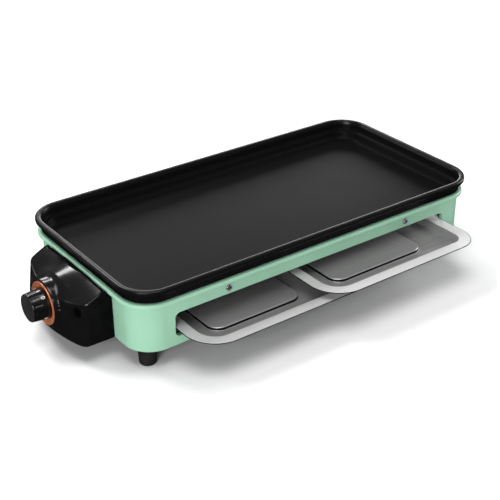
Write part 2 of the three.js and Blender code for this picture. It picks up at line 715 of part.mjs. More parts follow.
function cordGland() {
  const { boreRadius, neckRadius, neckLength, flangeRadius, length } = GLAND;
  const profile = [
    [boreRadius, 0], [neckRadius, 0], [neckRadius, neckLength], [flangeRadius, neckLength],
    [flangeRadius, neckLength + 2], [neckRadius, length], [boreRadius, length], [boreRadius, 0],
  ];
  return turned(profile, [0, 1, 0], [GLAND.x, BOX.halfWidth - neckLength + 2 * PLAY, GLAND.z]);
}

function terminalBlock() {
  const { frontX, backX, nearY, farY, bottomZ, topZ, boreRadius } = TERMINAL;
  const body = block(frontX, backX, nearY, farY, bottomZ, topZ);
  const middleY = (nearY + farY) / 2;
  const holes = [frontX + 4, backX - 4].map((x) =>
    rod(boreRadius, bottomZ + 3.5, topZ + 5, [0, 0, 1], [x, middleY, 0], 10));
  return cut(body, holes);
}

function lead(points, steps = 12) {
  const path = new THREE.CatmullRomCurve3(points.map((p) => new THREE.Vector3(...p)));
  return tube(path, LEAD_RADIUS, 8, steps);
}

// ---- assembly ----
addPiece("housing_shell", housingShell(), MINT);
addPiece("base_plate", basePlate(), ZINC);
addPiece("griddle_pan", griddlePan(), NON_STICK);
addPiece("heating_element", heatingElement(), ELEMENT_STEEL);
addPiece("left_tray", tray(LOWER_TRAY), STAINLESS);
addPiece("right_tray", tray(UPPER_TRAY), STAINLESS);

for (const [end, sx, sy] of ENDS) {
  addPiece(`foot_${end}`, foot(sx, sy), RUBBER);
  const seat = [sx * FOOT.x, sy * FOOT.y, BASE.z + BASE.thickness + PLAY];
  addPiece(`foot_screw_${end}`, screw([0, 0, 1], seat, 13, false), ZINC);
  const wall = [crossbarX(sx), sy * (wallY + PLAY), CROSSBAR.screwZ];
  addPiece(`housing_screw_${end}`, screw([0, sy, 0], wall, 8), STAINLESS);
  const flange = [crossbarX(sx), sy * (wallY - 2 * SHEET - 2 * PLAY), CROSSBAR.screwZ];
  addPiece(`housing_nut_${end}`, hexNut([0, -sy, 0], flange), ZINC);
}

for (const [name, side] of [["left", -1], ["right", 1]]) {
  addPiece(`crossbar_${name}`, crossbar(side), ZINC);
  addPiece(`element_clip_${name}_rear`, elementClip(side, ELEMENT.innerY), ZINC);
  addPiece(`element_clip_${name}_front`, elementClip(side, -ELEMENT.innerY), ZINC);
}

for (const [name, side] of [["front", -1], ["rear", 1]]) {
  addPiece(`cross_strap_${name}`, crossStrap(side), ZINC);
  addPiece(`element_bush_${name}`, elementBush(side), CERAMIC);
  addPiece(`terminal_pin_${name}`, terminalPin(side), ZINC);
  const seat = [BOX_SCREW.seatX - PLAY, side * BOX_SCREW.y, BOX_SCREW.z];
  addPiece(`box_screw_${name}`, screw([-1, 0, 0], seat, 17), ZINC);
}

const lowerRight = LOWER_TRAY.leftX + TRAY.length;
const upperRight = UPPER_TRAY.leftX + TRAY.length;
addPiece("rail_lower_left", standingRail(LOWER_TRAY.leftX - RAIL.clearance, 1, LOWER_TRAY.rimZ), ZINC);
addPiece("rail_lower_right", standingRail(lowerRight + RAIL.clearance, -1, LOWER_TRAY.rimZ), ZINC);
addPiece("rail_upper_left", hangingRail(UPPER_TRAY.leftX - RAIL.clearance), ZINC);
addPiece("rail_upper_right", standingRail(upperRight + RAIL.clearance, -1, UPPER_TRAY.rimZ), ZINC);

addPiece("control_box", controlBox(), BLACK_PLASTIC);
addPiece("box_back_plate", backPlate(), ZINC);
addPiece("dial_ring", dialRing(), COPPER);
addPiece("knob", knob(), GLOSS_BLACK);
addPiece("thermostat_shaft", shaft(), ZINC);
addPiece("thermostat_body", thermostatBody(), CERAMIC);
addPiece("thermostat_bracket", thermostatBracket(), ZINC);
addPiece("thermostat_tab_in", contactTab(1, TAB.lowZ, DIAL.z - THERMOSTAT.rise - PLAY), COPPER);
addPiece("thermostat_tab_out", contactTab(-1, DIAL.z + THERMOSTAT.rise + PLAY, TAB.highZ), COPPER);
addPiece("terminal_block", terminalBlock(), CERAMIC);
const fusePlace = [FUSE.x, ELEMENT_LEAD.y, 0];
addPiece("thermal_fuse", rod(FUSE.radius, FUSE.bottomZ, FUSE.topZ, [0, 0, 1], fusePlace), CERAMIC);
addPiece("cord_gland", cordGland(), RUBBER);
const earthSeat = [BACK_PLATE.frontX - PLAY, EARTH.y, EARTH.z];
addPiece("earth_screw", screw([-1, 0, 0], earthSeat, 7, false), ZINC);

const leadY = ELEMENT_LEAD.y;
const leadZ = ELEMENT_LEAD.z;
const pinTip = -wallX - ELEMENT_LEAD.length - ELEMENT_LEAD.pinLength - 3 * PLAY;
const tabX = (TAB.frontX + TAB.backX) / 2;
const live = [
  [TERMINAL.frontX + 5, TERMINAL.nearY - 0.4, 33], [-258, 22, 31], [tabX, 12, 30.6], [tabX, TAB.y, 32.4],
  [tabX, TAB.y, TAB.lowZ - 0.4],
];
const switched = [
  [tabX, -TAB.y, TAB.highZ + 0.6], [tabX, -10, 67.4], [tabX, -20, 68.6], [-256.5, -31, 65],
  [pinTip - 2, -leadY, leadZ], [pinTip, -leadY, leadZ],
];
const neutral = [
  [FUSE.x, leadY, FUSE.topZ + 0.4], [FUSE.x, leadY, 60], [pinTip - 3, leadY, leadZ], [pinTip, leadY, leadZ],
];
const earth = [
  [TERMINAL.backX - 3, TERMINAL.nearY - 0.4, 33], [-248, 20, 32], [-244, 12, 33.6],
  [earthSeat[0] - SCREW.headHeight - 1.8, EARTH.y, EARTH.z],
];
const neutralDrop = rod(LEAD_RADIUS, TERMINAL.topZ + PLAY, FUSE.bottomZ - PLAY, [0, 0, 1], fusePlace, 8);
addPiece("lead_live", lead(live, 16), LEAD_RED);
addPiece("lead_switched", lead(switched), LEAD_RED);
addPiece("lead_neutral_block", neutralDrop, LEAD_BLUE);
addPiece("lead_neutral_element", lead(neutral), LEAD_BLUE);
addPiece("lead_earth", lead(earth), LEAD_GREEN);

// The origin is the middle of the object's footprint: from the knob's face to the pan's right rim,
// and from the upper tray's front edge to the pan's rear rim.
const leftEnd = KNOB.backX - KNOB.length;
griddle.position.set(-(leftEnd + PAN.length / 2) / 2, -(UPPER_TRAY.frontY + PAN.depth / 2) / 2, 0);

export default griddle;
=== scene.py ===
"""The looks of an electric griddle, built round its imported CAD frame.

Shapes are worked out in millimetres from the pan's centre on the floor, +X right, -Y to the
front, +Z up, and every outer size is read from the frame's boxes.
"""
import json
import math

import bmesh
import bpy
import numpy as np
from mathutils import Matrix, Vector


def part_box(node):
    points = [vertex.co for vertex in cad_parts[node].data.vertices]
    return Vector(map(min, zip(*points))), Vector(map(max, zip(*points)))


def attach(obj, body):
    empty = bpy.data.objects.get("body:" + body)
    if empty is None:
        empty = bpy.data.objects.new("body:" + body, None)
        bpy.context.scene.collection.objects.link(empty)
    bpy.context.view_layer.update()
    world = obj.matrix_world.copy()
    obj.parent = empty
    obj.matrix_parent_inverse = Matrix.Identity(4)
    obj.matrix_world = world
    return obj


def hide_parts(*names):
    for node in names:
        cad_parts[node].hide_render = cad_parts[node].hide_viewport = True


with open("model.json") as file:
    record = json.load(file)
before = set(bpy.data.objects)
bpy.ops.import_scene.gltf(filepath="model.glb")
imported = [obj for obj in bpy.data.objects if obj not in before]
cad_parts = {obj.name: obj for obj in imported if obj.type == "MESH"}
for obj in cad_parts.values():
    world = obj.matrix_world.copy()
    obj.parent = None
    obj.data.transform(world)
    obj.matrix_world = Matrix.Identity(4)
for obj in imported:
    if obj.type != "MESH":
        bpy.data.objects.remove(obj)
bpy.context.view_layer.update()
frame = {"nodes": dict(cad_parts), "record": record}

MM = 0.001
ENDS = ("front_left", "front_right", "rear_left", "rear_right")


# ---------------------------------------------------------------- places
pan_low, pan_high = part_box("griddle_pan")
ORIGIN = Vector(((pan_low.x + pan_high.x) / 2, (pan_low.y + pan_high.y) / 2, 0))


def span(node):
    """A CAD node's lowest and highest corners, in millimetres from the pan's centre."""
    low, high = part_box(node)
    return (low - ORIGIN) / MM, (high - ORIGIN) / MM


def middle(node):
    """The middle of a CAD node's box, in the same millimetres."""
    low, high = span(node)
    return (low + high) / 2


def outline_of(node, radius):
    """A node's plan outline: length, depth, corner radius and centre."""
    low, high = span(node)
    centre = (low + high) / 2
    return {
        "length": high.x - low.x,
        "depth": high.y - low.y,
        "radius": radius,
        "x": centre.x,
        "y": centre.y,
    }


# ---------------------------------------------------------------- mesh helpers
CORNER_STEPS = 16
FILLET_STEPS = 5


def ring(outline, inset, z):
    """A rounded rectangle inside an outline, level at z, counter-clockwise from above."""
    points = []
    for sx, sy, start in ((1, -1, -0.5), (1, 1, 0), (-1, 1, 0.5), (-1, -1, 1)):
        corner = outline.get("right_radius", outline["radius"]) if sx > 0 else outline["radius"]
        radius = max(corner - inset, 2)
        reach_x = outline["length"] / 2 - inset - radius
        reach_y = outline["depth"] / 2 - inset - radius
        for k in range(CORNER_STEPS + 1):
            angle = (start + 0.5 * k / CORNER_STEPS) * math.pi
            x = outline["x"] + sx * reach_x + radius * math.cos(angle)
            y = outline["y"] + sy * reach_y + radius * math.sin(angle)
            points.append((x, y, z))
    return points


def fillet(profile, closed=False):
    """Rounds a polyline of (u, v, radius) corners into (u, v) points."""
    count = len(profile)
    result = []
    for i, (u, v, radius) in enumerate(profile):
        ends = not closed and i in (0, count - 1)
        if radius <= 0 or ends:
            result.append((u, v))
            continue
        here = Vector((u, v))
        before = Vector(profile[i - 1][:2]) - here
        after = Vector(profile[(i + 1) % count][:2]) - here
        half = before.angle(after) / 2
        if half > math.radians(88):
            result.append((u, v))
            continue
        room = 0.49 * min(before.length, after.length)
        reach = min(radius / math.tan(half), room)
        r = reach * math.tan(half)
        axis = (before.normalized() + after.normalized()).normalized()
        centre = here + axis * r / math.sin(half)
        first = here + before.normalized() * reach - centre
        last = here + after.normalized() * reach - centre
        turn = first.angle_signed(last)
        for k in range(FILLET_STEPS + 1):
            point = first.copy()
            point.rotate(Matrix.Rotation(-turn * k / FILLET_STEPS, 2))
            result.append(tuple(centre + point))
    return result


def grid_faces(rows, columns, close_rows):
    """The quads that join each ring of points to the next."""
    faces = []
    for i in range(rows if close_rows else rows - 1):
        a = i * columns
        b = ((i + 1) % rows) * columns
        for j in range(columns):
            k = (j + 1) % columns
            faces.append((a + j, a + k, b + k, b + j))
    return faces


SHARP = 38  # edges steeper than this many degrees stay crisp
MERGE = 1e-6  # points nearer than this, in metres, become one


def make(name, points, faces, finish, sharp=SHARP):
    """A mesh object from points in millimetres from the pan's centre."""
    mesh = bpy.data.meshes.new(name)
    mesh.from_pydata([ORIGIN + Vector(p) * MM for p in points], [], faces)
    mesh.validate()
    body = bmesh.new()
    body.from_mesh(mesh)
    bmesh.ops.remove_doubles(body, verts=body.verts, dist=MERGE)
    bmesh.ops.recalc_face_normals(body, faces=body.faces)
    body.to_mesh(mesh)
    body.free()
    smooth(mesh, sharp)
    obj = bpy.data.objects.new(name, mesh)
    bpy.context.scene.collection.objects.link(obj)
    if finish is not None:
        mesh.materials.append(finish)
    return obj


def smooth(mesh, sharp):
    """Shades a mesh smooth apart from its sharp edges."""
    mesh.polygons.foreach_set("use_smooth", [True] * len(mesh.polygons))
    mesh.set_sharp_from_angle(angle=math.radians(sharp))


def loft(name, rings, finish, closed=False, sharp=SHARP):
    """Skins equal rings; an open loft gets a flat cap at each end."""
    count = len(rings[0])
    points = [p for r in rings for p in r]
    faces = grid_faces(len(rings), count, closed)
    if not closed:
        faces.append(tuple(reversed(range(count))))
        faces.append(tuple(range((len(rings) - 1) * count, len(rings) * count)))
    return make(name, points, faces, finish, sharp)


def turned(name, profile, place, direction, finish, segments=64, closed=False):
    """A turned piece of (radius, height) pairs, its axis along a direction from a place."""
    axis = Vector(direction).normalized()
    side = Vector((0, 0, 1)) if abs(axis.z) < 0.9 else Vector((1, 0, 0))
    side = (side - axis * side.dot(axis)).normalized()
    other = axis.cross(side)
    points = []
    for radius, height in profile:
        for k in range(segments):
            angle = 2 * math.pi * k / segments
            spoke = side * math.cos(angle) + other * math.sin(angle)
            points.append(Vector(place) + axis * height + spoke * radius)
    faces = grid_faces(len(profile), segments, closed)
    if not closed:
        faces.append(tuple(reversed(range(segments))))
        faces.append(tuple(range((len(profile) - 1) * segments, len(profile) * segments)))
    return make(name, points, faces, finish)


def cylinder(radius, start, end, segments=48):
    """A plain cylinder between two points, used only to cut."""
    axis = Vector(end) - Vector(start)
    profile = [(radius, 0), (radius, axis.length)]
    return turned("cutter", profile, start, axis, None, segments)


def cut(obj, tools):
    """Cuts an object with others, then removes them."""
    for tool in tools:
        modifier = obj.modifiers.new("boolean", "BOOLEAN")
        modifier.operation = "DIFFERENCE"
        modifier.solver = "EXACT"
        modifier.object = tool
    apply_modifiers(obj)
    for tool in tools:
        bpy.data.objects.remove(tool)
    smooth(obj.data, SHARP)
    return obj


def apply_modifiers(obj):
    """Gives an object the mesh that its modifiers make."""
    bpy.context.view_layer.update()
    graph = bpy.context.evaluated_depsgraph_get()
    mesh = bpy.data.meshes.new_from_object(obj.evaluated_get(graph))
    obj.modifiers.clear()
    obj.data = mesh


def soften(obj, width, angle=35):
    """Rounds the sharp edges and weights the normals by face area."""
    bevel = obj.modifiers.new("bevel", "BEVEL")
    bevel.width = width * MM
    bevel.segments = 2
    bevel.limit_method = "ANGLE"
    bevel.angle_limit = math.radians(angle)
    bevel.use_clamp_overlap = True
    weighted = obj.modifiers.new("weighted", "WEIGHTED_NORMAL")
    weighted.keep_sharp = True


def install(obj, body, slot, *nodes):
    """Puts a finished piece on its body, in place of its CAD nodes."""
    if nodes:
        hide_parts(*nodes)
    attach(obj, body)
    return obj


# ---------------------------------------------------------------- materials
def srgb(red, green, blue):
    """An 8-bit screen colour as linear light."""
    values = [c / 255 for c in (red, green, blue)]
    return tuple(c / 12.92 if c <= 0.04045 else ((c + 0.055) / 1.055) ** 2.4 for c in values)


class Finish:
    """A node material that starts from object coordinates."""

    def __init__(self, name, metallic=0.0):
        self.material = bpy.data.materials.new(name)
        self.material.use_nodes = True
        self.tree = self.material.node_tree
        self.shader = self.tree.nodes["Principled BSDF"]
        self.shader.inputs["Metallic"].default_value = metallic
        self.coords = self.add("ShaderNodeTexCoord").outputs["Object"]

    def add(self, kind, **values):
        """A new node with its settings."""
        node = self.tree.nodes.new(kind)
        for key, value in values.items():
            setattr(node, key, value)
        return node

    def link(self, output, node, socket):
        """Joins an output to a node's named input."""
        self.tree.links.new(output, node.inputs[socket])

    def noise(self, scale, stretch=(1, 1, 1), detail=3, roughness=0.5):
        """Noise with a scale in cells per metre, stretched along the axes."""
        mapping = self.add("ShaderNodeMapping")
        mapping.inputs["Scale"].default_value = stretch
        self.link(self.coords, mapping, "Vector")
        noise = self.add("ShaderNodeTexNoise")
        noise.inputs["Scale"].default_value = scale
        noise.inputs["Detail"].default_value = detail
        noise.inputs["Roughness"].default_value = roughness
        self.link(mapping.outputs["Vector"], noise, "Vector")
        return noise.outputs["Fac"]

    def ramp(self, value, stops):
        """A colour ramp through (position, colour) stops."""
        node = self.add("ShaderNodeValToRGB")
        elements = node.color_ramp.elements
        while len(elements) < len(stops):
            elements.new(0.5)
        for element, (position, colour) in zip(elements, stops):
            element.position = position
            element.color = (*colour, 1)
        self.link(value, node, "Fac")
        return node.outputs["Color"]

    def spread(self, value, low, high):
        """Maps the middle of a noise's range onto low to high."""
        node = self.add("ShaderNodeMapRange")
        node.inputs["From Min"].default_value = 0.3
        node.inputs["From Max"].default_value = 0.7
        node.inputs["To Min"].default_value = low
        node.inputs["To Max"].default_value = high
        self.link(value, node, "Value")
        return node.outputs["Result"]

    def colour(self, value, dark, light):
        """Lets a noise shade the base colour from dark to light."""
        self.link(self.ramp(value, [(0.35, dark), (0.65, light)]), self.shader, "Base Color")

    def rough(self, value, low, high):
        """Lets a noise vary the roughness from low to high."""
        self.link(self.spread(value, low, high), self.shader, "Roughness")

    def bump(self, value, depth, strength):
        """Relief whose full height is depth, in millimetres."""
        node = self.add("ShaderNodeBump")
        node.inputs["Strength"].default_value = strength
        node.inputs["Distance"].default_value = depth * MM
        self.link(value, node, "Height")
        self.link(node.outputs["Normal"], self.shader, "Normal")

    def set(self, **values):
        """Sets shader inputs, named with _ for each space."""
        for name, value in values.items():
            self.shader.inputs[name.replace("_", " ")].default_value = value


def enamel():
    """Mint stoving enamel: an even satin coat with a faint orange peel."""
    f = Finish("mint_enamel")
    f.colour(f.noise(14, detail=2), srgb(151, 199, 171), srgb(156, 204, 176))
    f.rough(f.noise(240), 0.32, 0.38)
    f.bump(f.noise(300, detail=0), 0.01, 0.25)
    f.set(Coat_Weight=0.2, Coat_Roughness=0.25, Specular_IOR_Level=0.4)
    return f.material


def non_stick(name, low, high, gloss):
    """Dark sprayed non-stick coating: fine grain and a soft sheen."""
    f = Finish(name)
    f.colour(f.noise(900, detail=2), srgb(10, 10, 11), srgb(17, 16, 16))
    f.rough(f.noise(60), low, high)
    f.bump(f.noise(1500, detail=2), 0.02, 0.25)
    f.set(Specular_IOR_Level=gloss)
    return f.material


def satin_steel(name, dark, light, low, high, metallic=1.0):
    """Stainless sheet with a fine grain drawn along the length."""
    f = Finish(name, metallic=metallic)
    drawn = f.noise(260, stretch=(0.05, 4, 4), detail=4)
    f.colour(drawn, dark, light)
    f.rough(f.noise(700, stretch=(0.04, 3, 3)), low, high)
    f.bump(drawn, 0.004, 0.2)
    return f.material


def zinc():
    """Zinc-plated steel with a faint spangle."""
    f = Finish("zinc_plate", metallic=1.0)
    spangle = f.noise(160, detail=5, roughness=0.7)
    f.colour(spangle, srgb(150, 152, 155), srgb(186, 188, 190))
    f.rough(f.noise(90, detail=4), 0.32, 0.5)
    f.bump(f.noise(900), 0.01, 0.25)
    return f.material


def moulded(name, dark, light, low, high, grain=1400, depth=0.02):
    """Moulded plastic or rubber with a fine eroded grain."""
    f = Finish(name)
    f.colour(f.noise(70, detail=3), dark, light)
    f.rough(f.noise(320, detail=3), low, high)
    f.bump(f.noise(grain, detail=2), depth, 0.3)
    return f.material


def copper():
    """Copper-coloured ring with a fine satin grain."""
    f = Finish("copper_ring", metallic=0.55)
    f.colour(f.noise(120, detail=2), srgb(222, 128, 88), srgb(236, 150, 106))
    f.rough(f.noise(900, detail=2), 0.26, 0.36)
    f.bump(f.noise(1800, detail=1), 0.006, 0.3)
    return f.material


def element_steel():
    """Heat-tinted sheath: brown, straw and blue-grey patches."""
    f = Finish("element_sheath", metallic=0.9)
    tint = f.noise(38, detail=4, roughness=0.6)
    stops = [(0.3, srgb(70, 60, 54)), (0.5, srgb(110, 92, 74)), (0.7, srgb(84, 86, 92))]
    f.link(f.ramp(tint, stops), f.shader, "Base Color")
    f.rough(f.noise(300, detail=4), 0.34, 0.55)
    f.bump(f.noise(800), 0.02, 0.3)
    return f.material


def ceramic():
    """Pale glazed ceramic with a faint mottle."""
    f = Finish("glazed_ceramic")
    f.colour(f.noise(300, detail=4), srgb(226, 219, 202), srgb(240, 235, 222))
    f.rough(f.noise(200), 0.4, 0.6)
    f.bump(f.noise(1200), 0.02, 0.3)
    return f.material


MINT = enamel()
NON_STICK = non_stick("non_stick", 0.36, 0.4, 0.03)
NON_STICK_RIM = non_stick("non_stick_rim", 0.22, 0.28, 0.18)
TRAY_STEEL = satin_steel("tray_steel", srgb(174, 173, 173), srgb(188, 187, 187), 0.3, 0.38, 0.64)
# A lighter, less metallic copy of the tray steel with the same roughness: painted sheen for the rim's
# brighter reflection.
RIM_PAINTED_SHEEN_STEEL = satin_steel("tray_rim_painted_sheen", srgb(226, 225, 225), srgb(236, 235, 235), 0.3, 0.38, 0.4)
# A near-black copy of the tray steel, painted shade: the shadow under the rim's outer edge and the
# shadow line round the panel's step.
TRAY_EDGE_PAINTED_SHADE = satin_steel("tray_edge_painted_shade", srgb(26, 26, 27), srgb(36, 36, 37), 0.4, 0.5)
SCREW_STEEL = satin_steel("screw_steel", srgb(150, 150, 152), srgb(172, 172, 174), 0.16, 0.24)
ZINC = zinc()
BOX_PLASTIC = moulded("box_plastic", srgb(8, 8, 9), srgb(12, 12, 13), 0.17, 0.21, 90, 0.008)
KNOB_PLASTIC = moulded("knob_plastic", srgb(9, 9, 10), srgb(14, 14, 15), 0.1, 0.16, 300, 0.002)
KNOB_FACE = moulded("knob_face_plastic", srgb(34, 33, 33), srgb(44, 43, 43), 0.34, 0.44)
MARK_PAINT = moulded("mark_paint", srgb(214, 214, 212), srgb(232, 232, 230), 0.4, 0.5)
COPPER = copper()
RUBBER = moulded("foot_rubber", srgb(22, 22, 22), srgb(36, 35, 35), 0.45, 0.6, 900, 0.05)
ELEMENT_STEEL = element_steel()
CERAMIC = ceramic()
LEAD_RED = moulded("lead_red", srgb(150, 44, 36), srgb(172, 56, 46), 0.45, 0.6)
LEAD_BLUE = moulded("lead_blue", srgb(44, 78, 140), srgb(56, 92, 158), 0.45, 0.6)
LEAD_GREEN = moulded("lead_green", srgb(110, 146, 44), srgb(196, 196, 60), 0.45, 0.6)


# ---------------------------------------------------------------- housing
lip_low, lip_high = span("housing_shell")
WALL_INSET = 5.0  # the lip overhangs the wall by this much
SHEET = 1.2
LIP_DEEP = 5.7
LIP_UNDER = lip_high.z - LIP_DEEP
HOUSING_RADIUS = 36
SLOT = {"left": -190.3, "right": 192.5, "bottom": 32.0, "top": 60.2, "radius": 6.0}
SCREW_HOLE = 2.3
BUSH_HOLE = 5.5
HEM = {"reach": 4.7, "thick": 1.0}
BORE_SEGMENTS = 24
CUT_REACH = 6.0  # how far a cutter stands out on each side of the wall
wall_x = lip_high.x - WALL_INSET
wall_y = lip_high.y - WALL_INSET


def slot_outline(out=0.0):
    """The tray slot's rounded outline in the wall's plane, grown outward."""
    radius = SLOT["radius"]
    left, right = SLOT["left"] + radius, SLOT["right"] - radius
    low, high = SLOT["bottom"] + radius, SLOT["top"] - radius
    outline = []
    for x, z, start in ((right, low, -0.5), (right, high, 0), (left, high, 0.5), (left, low, 1)):
        for k in range(CORNER_STEPS + 1):
            angle = (start + 0.5 * k / CORNER_STEPS) * math.pi
            outline.append((x + (radius + out) * math.cos(angle), z + (radius + out) * math.sin(angle)))
    return outline


def slot_cutter():
    """A bar with the slot's outline, through the front wall."""
    ends = (-wall_y - CUT_REACH, -wall_y + CUT_REACH)
    return loft("cutter", [[(x, y, z) for x, z in slot_outline()] for y in ends], None)


def wall_bores():
    """Cutters for the screws front and back and for what passes the left wall."""
    tools = []
    for end in ENDS:
        place = middle(f"housing_nut_{end}")
        side = math.copysign(1, place.y)
        start = (place.x, side * (wall_y - CUT_REACH), place.z)
        stop = (place.x, side * (wall_y + CUT_REACH), place.z)
        tools.append(cylinder(SCREW_HOLE, start, stop, BORE_SEGMENTS))
    bores = [("element_bush_front", BUSH_HOLE), ("element_bush_rear", BUSH_HOLE)]
    bores += [(node, SCREW_HOLE) for node in ("earth_screw", "box_screw_front", "box_screw_rear")]
    for node, radius in bores:
        place = middle(node)
        start = (-wall_x - CUT_REACH, place.y, place.z)
        stop = (-wall_x + CUT_REACH, place.y, place.z)
        tools.append(cylinder(radius, start, stop, BORE_SEGMENTS))
    return tools


def housing():
    """The painted shell: a straight wall under an overhanging rolled lip."""
    outline = outline_of("housing_shell", HOUSING_RADIUS)
    inner = WALL_INSET + SHEET
    profile = fillet(
        [
            (WALL_INSET, lip_low.z, 0.4),
            (WALL_INSET, LIP_UNDER, 0.9),
            (0, LIP_UNDER, 2.2),
            (0, lip_high.z, 2.4),
            (inner, lip_high.z, 1.2),
            (inner, lip_low.z, 0.4),
        ],
        closed=True,
    )
    shell = loft("housing", [ring(outline, inset, z) for inset, z in profile], MINT, closed=True)
    cut(shell, [slot_cutter(), *wall_bores()])
    soften(shell, 0.35, angle=60)
    shell.visible_glossy = False  # keeps its green out of the steel
    return install(shell, "base", "mint_enamel", "housing_shell")


def slot_hem():
    """The slot's edge, turned inward all round."""
    front = SHEET - wall_y - 0.2
    back = front + HEM["reach"]
    thick = HEM["thick"]
    corners = [(0, front, 0), (0, back, 0.4), (thick, back, 0.4), (thick, front, 0)]
    profile = fillet(corners, closed=True)
    rings = [[(x, y, z) for x, z in slot_outline(out)] for out, y in profile]
    hem = loft("slot_hem", rings, MINT, closed=True)
    return install(hem, "base", "mint_enamel")


# ---------------------------------------------------------------- pan
PAN_RADIUS = 39
BEAD = 4.4  # height of the pan's rolled rim


def griddle_pan():
    """The coated pan: rolled rim, stepped shoulder, flat floor and a bead underneath."""
    outline = outline_of("griddle_pan", PAN_RADIUS)
    low, high = span("griddle_pan")
    rim, under, floor = high.z, low.z, low.z + 2.5
    lip = lip_high.z
    profile = fillet(
        [
            (60, under + 1.0, 0),
            (30, under + 1.0, 1),
            (27, under, 1.5),
            (15.2, under, 2),
            (12.2, under + 3, 2),
            (10.4, lip - 0.2, 0.4),
            (9.6, lip + 0.3, 0.3),
            (5.8, lip + 0.3, 0.8),
            (4.6, rim - 7.0, 1.2),
            (1.2, rim - 6.4, 1.2),
            (0, rim - 4.4, 2.2),
            (0, rim, 2.9),
            (6.2, rim, 2.6),
            (7.6, rim - 4.5, 3),
            (8.6, rim - 11.6, 1.6),
            (12.8, rim - 12.6, 1.6),
            (14.8, floor + 3.4, 3),
            (18.4, floor, 3),
            (30, floor, 0),
            (100, floor, 0),
        ]
    )
    rings = [ring(outline, inset, z) for inset, z in profile]
    pan = loft("griddle_pan_coated", rings, NON_STICK)
    pan.data.materials.append(NON_STICK_RIM)
    for face in pan.data.polygons:
        if face.center.z > (rim - BEAD) * MM:
            face.material_index = 1
    return install(pan, "griddle_pan", "non_stick", "griddle_pan")


# ---------------------------------------------------------------- trays
PANEL = {"margin": 33.0, "rise": 3.0, "radius": 14.0, "slope": 0.8, "groove": 0.45}
PANEL_LENGTHS = {"left_tray": 117.0, "right_tray": 132.0}
TRAY_SHEET = 0.8
TRAY_DEEP = 7.2
TRAY_RADIUS = 38.0
TRAY_RIGHT_RADIUS = 28.0
RIM_WIDTH = 14.0
EDGE_SHADE_WIDTH = 0.8  # width of the painted shade along the rim's outer edge, seen from above


def outward(face, outline):
    """How far a face of a tray lies beyond the tray's outline; negative inside it."""
    place = (face.center - ORIGIN) / MM
    out_x = abs(place.x - outline["x"]) - outline["length"] / 2
    out_y = abs(place.y - outline["y"]) - outline["depth"] / 2
    corner = outline["right_radius"] if place.x > outline["x"] else outline["radius"]
    if min(out_x, out_y) < -corner:
        return max(out_x, out_y)
    return math.hypot(out_x + corner, out_y + corner) - corner


def within_panel(face, panel):
    """Whether a face of a tray lies on the upright step round its raised panel."""
    place = (face.center - ORIGIN) / MM
    out_x = abs(place.x - panel["x"]) - panel["length"] / 2
    out_y = abs(place.y - panel["y"]) - panel["depth"] / 2
    return max(out_x, out_y) < PANEL["slope"] + 0.3


def tray(node):
    """A pressed steel tray: flat rim, sloping wall, gutter and a raised panel."""
    low, high = span(node)
    outline = outline_of(node, TRAY_RADIUS)
    outline["right_radius"] = TRAY_RIGHT_RADIUS
    panel_length = PANEL_LENGTHS[node]
    sheet = TRAY_SHEET
    rim = high.z
    floor = rim - TRAY_DEEP
    panel = {
        "length": panel_length,
        "depth": outline["depth"] - 2 * PANEL["margin"],
        "radius": PANEL["radius"],
        "x": low.x + PANEL["margin"] + panel_length / 2,
        "y": outline["y"],
    }
    top = floor + PANEL["rise"]
    under = fillet(
        [
            (0, top - sheet, 0),
            (-PANEL["slope"], floor - sheet, 0.8),
            (-PANEL["slope"] - 2, floor - sheet, 0),
        ]
    )
    wall_under = fillet(
        [
            (RIM_WIDTH + 9, floor - sheet, 0),
            (RIM_WIDTH + 6.0, floor - sheet, 1.6),
            (RIM_WIDTH - 0.4, rim - sheet, 0.8),
            (0.2, rim - sheet, 0.3),
            (0, rim - sheet / 2, 0.2),
            (0.25, rim, 0.3),
            (EDGE_SHADE_WIDTH, rim, 0),
            (RIM_WIDTH, rim, 0.9),
            (RIM_WIDTH + 6.2, floor, 2.2),
            (RIM_WIDTH + 9, floor, 0),
        ]
    )
    over = fillet(
        [
            (-PANEL["slope"] - 4, floor, 0),
            (-PANEL["slope"] - 2.2, floor - PANEL["groove"], 0.8),
            (-PANEL["slope"], floor - PANEL["groove"], 0.6),
            (0, top, 1.3),
            (3, top, 0),
            (24, top, 0),
        ]
    )
    rings = [ring(panel, inset, z) for inset, z in under]
    rings += [ring(outline, inset, z) for inset, z in wall_under]
    rings += [ring(panel, inset, z) for inset, z in over]
    piece = loft(node + "_pressing", rings, TRAY_STEEL, sharp=50)
    paint_tray(piece, outline, panel, rim)
    return install(piece, node, "stainless", node)


def paint_tray(piece, outline, panel, rim):
    """Gives a tray's rim a lighter copy of its steel as painted sheen, and paints shade in near-black
    steel on the rim's outer edge and round the panel's step.
    """
    piece.data.materials.append(RIM_PAINTED_SHEEN_STEEL)
    piece.data.materials.append(TRAY_EDGE_PAINTED_SHADE)
    plain, painted_sheen, dark = range(3)
    for face in piece.data.polygons:
        finish = plain
        # The rim's upright outer edge and a thin band along its top edge get the near-black steel,
        # painted shade for the shadow under the edge; the rest of the rim gets the lighter steel, a
        # painted sheen.
        if abs(face.normal.z) < 0.5 and face.center.z > (rim - TRAY_SHEET - 0.1) * MM:
            finish = dark if outward(face, outline) > -3 else painted_sheen
        elif face.center.z > (rim - 0.5) * MM:
            finish = dark if outward(face, outline) > -EDGE_SHADE_WIDTH else painted_sheen
        # The upright step round the raised panel gets the near-black steel too, a painted shadow line
        # at the step.
        elif abs(face.normal.z) < 0.4 and within_panel(face, panel):
            finish = dark
        face.material_index = finish


